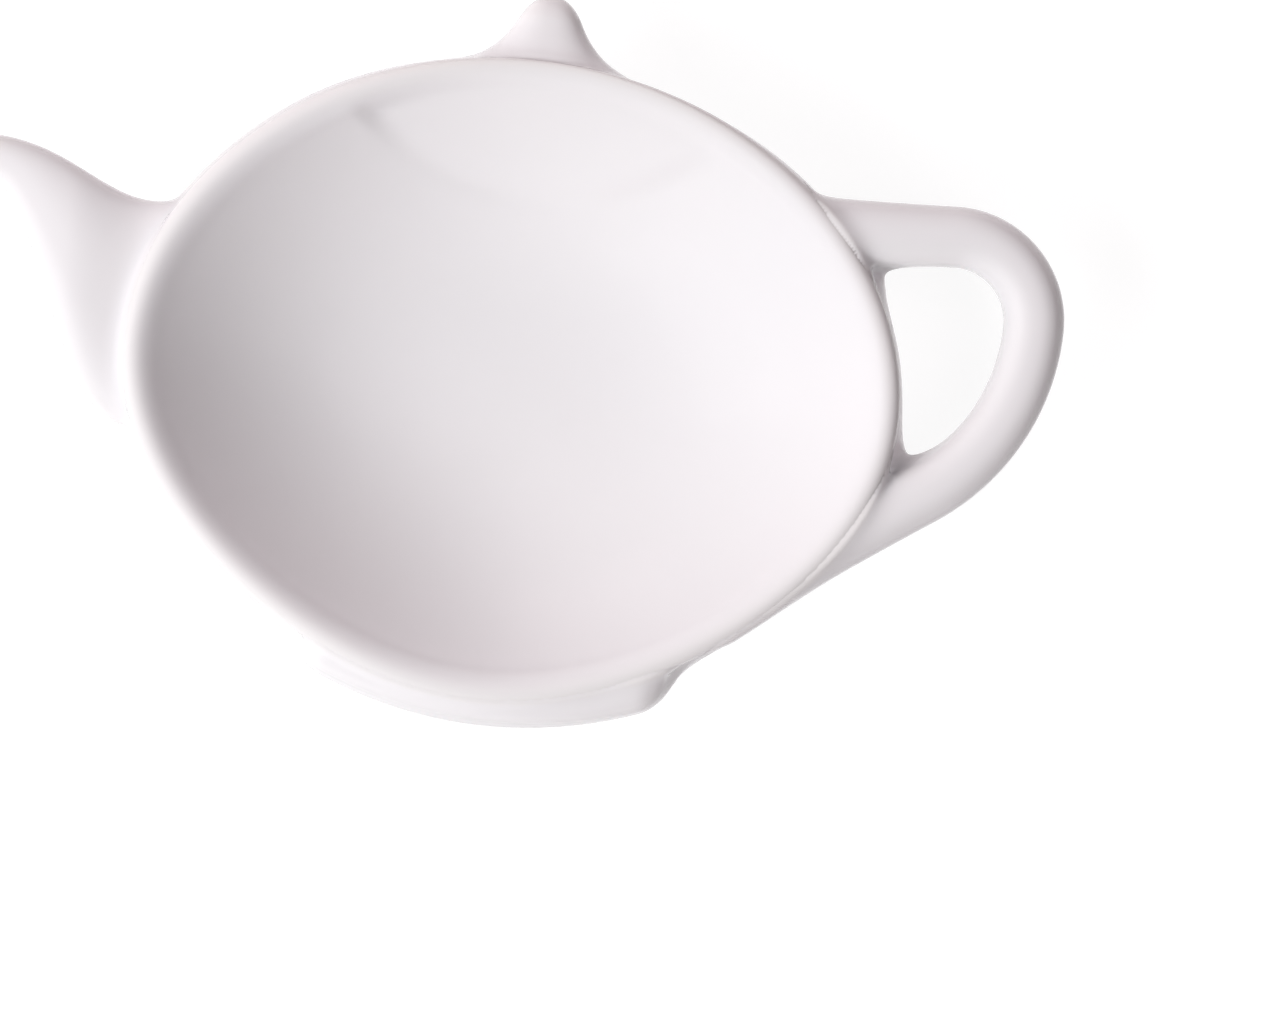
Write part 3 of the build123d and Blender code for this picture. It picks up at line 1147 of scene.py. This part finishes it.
# Table: half its size, its tone for the light that it sends back, and its tone and glow for the rays that look at it.
TABLE_HALF = 3
TABLE_TONE = (0.85, 0.85, 0.85)
SEEN_TONE = (0.22, 0.22, 0.22)
SEEN_GLOW = 0.885
WHITE = (1.0, 1.0, 1.0, 1.0)


def area_light(name, power, width, depth, turn, height, distance, colour):
    """Oblong lamp that faces the dish from a direction and that the glaze doesn't mirror."""
    lamp = bpy.data.lights.new(name, "AREA")
    lamp.energy = power
    lamp.shape = "RECTANGLE"
    lamp.size = width
    lamp.size_y = depth
    lamp.color = colour
    light = bpy.data.objects.new(name, lamp)
    bpy.context.scene.collection.objects.link(light)
    flat = math.cos(height)
    way = Vector((flat * math.cos(turn), flat * math.sin(turn), math.sin(height)))
    light.location = way * distance
    light.rotation_euler = (-way).to_track_quat("-Z", "Y").to_euler()
    light.visible_glossy = False


def table_material():
    """White table with a faint shadow, darker and aglow for rays from the camera, a mirror or through glass."""
    material = bpy.data.materials.new("white_table")
    material.use_nodes = True
    tree = material.node_tree
    surface = tree.nodes["Principled BSDF"].inputs
    rays = add(tree, "ShaderNodeLightPath").outputs
    seen = maths(tree, "MAXIMUM", rays["Is Camera Ray"], rays["Is Glossy Ray"])
    seen = maths(tree, "MAXIMUM", seen, rays["Is Transmission Ray"])
    plug(tree, mixed(tree, seen, TABLE_TONE, SEEN_TONE), surface["Base Color"])
    plug(tree, 0.9, surface["Roughness"])
    plug(tree, 0.0, surface["Specular IOR Level"])
    plug(tree, WHITE, surface["Emission Color"])
    plug(tree, maths(tree, "MULTIPLY", seen, SEEN_GLOW), surface["Emission Strength"])
    return material


class TEAREST_OT_stage(Operator):
    """Make the table, the lights and the camera"""
    bl_idname = "tea_rest.stage"
    bl_label = "Stage"

    def execute(self, context):
        scene = context.scene
        stage = scene.tea_rest_stage
        mesh = bpy.data.meshes.new("table")
        corners = [(x * TABLE_HALF, y * TABLE_HALF, 0) for x, y in ((-1, -1), (1, -1), (1, 1), (-1, 1))]
        mesh.from_pydata(corners, [], [(0, 1, 2, 3)])
        mesh.materials.append(table_material())
        table = bpy.data.objects.new("table", mesh)
        scene.collection.objects.link(table)

        area_light("window_light", stage.key_power, stage.key_size, stage.key_size / 2, stage.key_turn,
                   stage.key_height, stage.key_distance, stage.key_tint)
        for name, part, turn, height in FILLS:
            area_light(name, stage.fill_power * part, stage.key_size / 2, stage.key_size / 2, math.radians(turn),
                       math.radians(height), stage.key_distance, stage.fill_tint)

        world = bpy.data.worlds.new("room")
        scene.world = world
        world.use_nodes = True
        tree = world.node_tree
        backdrop = tree.nodes["Background"].inputs
        rays = add(tree, "ShaderNodeLightPath").outputs
        level = ranged(tree, rays["Is Glossy Ray"], 0.0, 1.0, stage.room_level, stage.mirror_level)
        plug(tree, maths(tree, "MAXIMUM", level, rays["Is Camera Ray"]), backdrop["Strength"])
        plug(tree, WHITE, backdrop["Color"])

        lens = bpy.data.cameras.new("camera")
        lens.lens = stage.lens
        lens.sensor_width = 36.0
        lens.clip_start = 0.01
        camera = bpy.data.objects.new("camera", lens)
        scene.collection.objects.link(camera)
        aim = Vector(stage.aim)
        eye = Vector((0.0, 0.0, BELLY_HEIGHT + stage.distance))
        ahead = (aim - eye).normalized()
        up = Vector((-math.sin(stage.turn), math.cos(stage.turn), 0.0))
        right = ahead.cross(up).normalized()
        up = right.cross(ahead)
        camera.matrix_world = Matrix.Translation(eye) @ Matrix((right, up, -ahead)).transposed().to_4x4()
        scene.camera = camera

        scene.view_settings.view_transform = "Standard"
        return {"FINISHED"}


class TEAREST_PT_sidebar(Panel):
    """Sizes and steps of the tea bag rest"""
    bl_idname = "TEAREST_PT_sidebar"
    bl_label = "Tea Bag Rest"
    bl_space_type = "VIEW_3D"
    bl_region_type = "UI"
    bl_category = "Tea Rest"

    def draw(self, context):
        for operator, settings in (*STEPS, (None, "tea_rest_glaze")):
            box = self.layout.box()
            if operator:
                box.operator(operator.bl_idname)
            for name in SETTINGS[settings].__annotations__:
                box.prop(getattr(context.scene, settings), name, text=name.replace("_", " ").capitalize())


STEPS = (
    (TEAREST_OT_dish, "tea_rest_dish"),
    (TEAREST_OT_spout, "tea_rest_spout"),
    (TEAREST_OT_knob, "tea_rest_knob"),
    (TEAREST_OT_handle, "tea_rest_handle"),
    (TEAREST_OT_ledge, "tea_rest_ledge"),
    (TEAREST_OT_ring, "tea_rest_ring"),
    (TEAREST_OT_stage, "tea_rest_stage"),
)
SETTINGS = {
    "tea_rest_dish": TeaRestDish,
    "tea_rest_spout": TeaRestSpout,
    "tea_rest_knob": TeaRestKnob,
    "tea_rest_handle": TeaRestHandle,
    "tea_rest_ledge": TeaRestLedge,
    "tea_rest_ring": TeaRestRing,
    "tea_rest_glaze": TeaRestGlaze,
    "tea_rest_stage": TeaRestStage,
}
CLASSES = (*SETTINGS.values(), *(operator for operator, _ in STEPS), TEAREST_PT_sidebar)


def register():
    """Add the classes and the settings."""
    for item in CLASSES:
        bpy.utils.register_class(item)
    for name, group in SETTINGS.items():
        setattr(bpy.types.Scene, name, PointerProperty(type=group))


def unregister():
    """Remove the settings and the classes."""
    for name in SETTINGS:
        delattr(bpy.types.Scene, name)
    for item in reversed(CLASSES):
        bpy.utils.unregister_class(item)


def main():
    """Build the rest and its stage."""
    register()
    bpy.ops.tea_rest.dish()
    bpy.ops.tea_rest.spout()
    bpy.ops.tea_rest.knob()
    bpy.ops.tea_rest.handle()
    bpy.ops.tea_rest.base_ledge()
    bpy.ops.tea_rest.foot_ring()
    bpy.ops.tea_rest.stage()
    bpy.context.view_layer.update()


if __name__ == "__main__":
    main()
